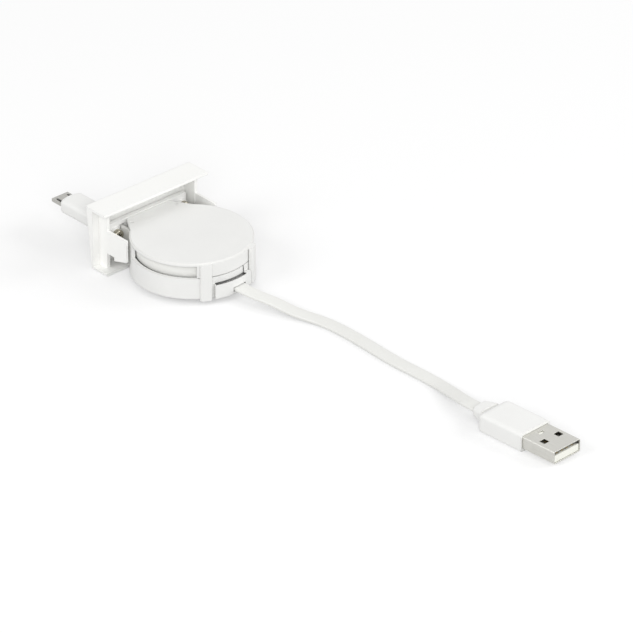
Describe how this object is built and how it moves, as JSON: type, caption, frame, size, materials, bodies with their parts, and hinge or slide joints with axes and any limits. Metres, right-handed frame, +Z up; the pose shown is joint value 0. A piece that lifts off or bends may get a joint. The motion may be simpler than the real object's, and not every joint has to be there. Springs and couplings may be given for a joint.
{
  "type": "retractable charging cable module",
  "caption": "Snap-in front module carrying a round spring reel: a small plug on a flat retractable lead pulls out in front, and a wide plug on a short fixed flat lead leaves the reel behind.",
  "frame": {"origin": "on the standing surface, midway across the module and midway between the small plug's tip and the reel's outlet lip", "axes": "+Z up, +Y from the small plug in front to the outlet behind, +X along the module"},
  "size_m": [0.045, 0.2233, 0.0225],
  "materials": {
    "frame_plastic": "smooth white moulded plastic",
    "reel_plastic": "satin white moulded plastic",
    "spool_plastic": "satin black moulded plastic",
    "lead_jacket": "soft white flat jacket",
    "overmould": "satin white overmoulding",
    "plated_shell": "nickel plating",
    "insulator": "white insulator",
    "contact_gilt": "thin gilding",
    "screw_steel": "plated steel",
    "spring_steel": "tempered strip",
    "ball_steel": "polished ball"
  },
  "bodies": {
    "case": {"front_frame": "frame_plastic", "reel_base": "reel_plastic", "reel_cover": "reel_plastic", "flange_screws": "screw_steel", "mainspring": "spring_steel", "lead_coil": "lead_jacket", "fixed_lead": "lead_jacket", "wide_plug_relief": "overmould", "wide_plug_body": "overmould", "wide_plug_shell": "plated_shell", "wide_plug_tongue": "insulator", "wide_plug_contacts": "contact_gilt"},
    "spool": {"spool": "spool_plastic", "lock_disc": "spool_plastic", "wound_lead": "lead_jacket"},
    "plug": {"plug_lead": "lead_jacket", "plug_relief": "overmould", "plug_body": "overmould", "plug_shell": "plated_shell", "plug_tongue": "insulator", "plug_contacts": "contact_gilt", "plug_latches": "spring_steel"},
    "ball": {"lock_ball": "ball_steel"}
  },
  "joints": [
    {"name": "plug_pull", "type": "slide", "parent": "case", "child": "plug", "axis": [0, -1, 0], "range_m": [0, 0.65], "stiffness_N_per_m": 2, "deforming": ["plug_lead"]},
    {"name": "spool_spin", "type": "hinge", "parent": "case", "child": "spool", "pos_m": [0, 0.01596, 0], "axis": [0, 0, -1], "range_deg": [0, 2950], "deforming": ["mainspring", "lead_coil"]},
    {"name": "ball_slide", "type": "slide", "parent": "case", "child": "ball", "axis": [1, 0, 0], "range_m": [-0.0004, 0.0004]}
  ],
  "couplings": [
    {"joint": "spool_spin", "follows": "plug_pull", "rad_per_m": 77.5}
  ]
}
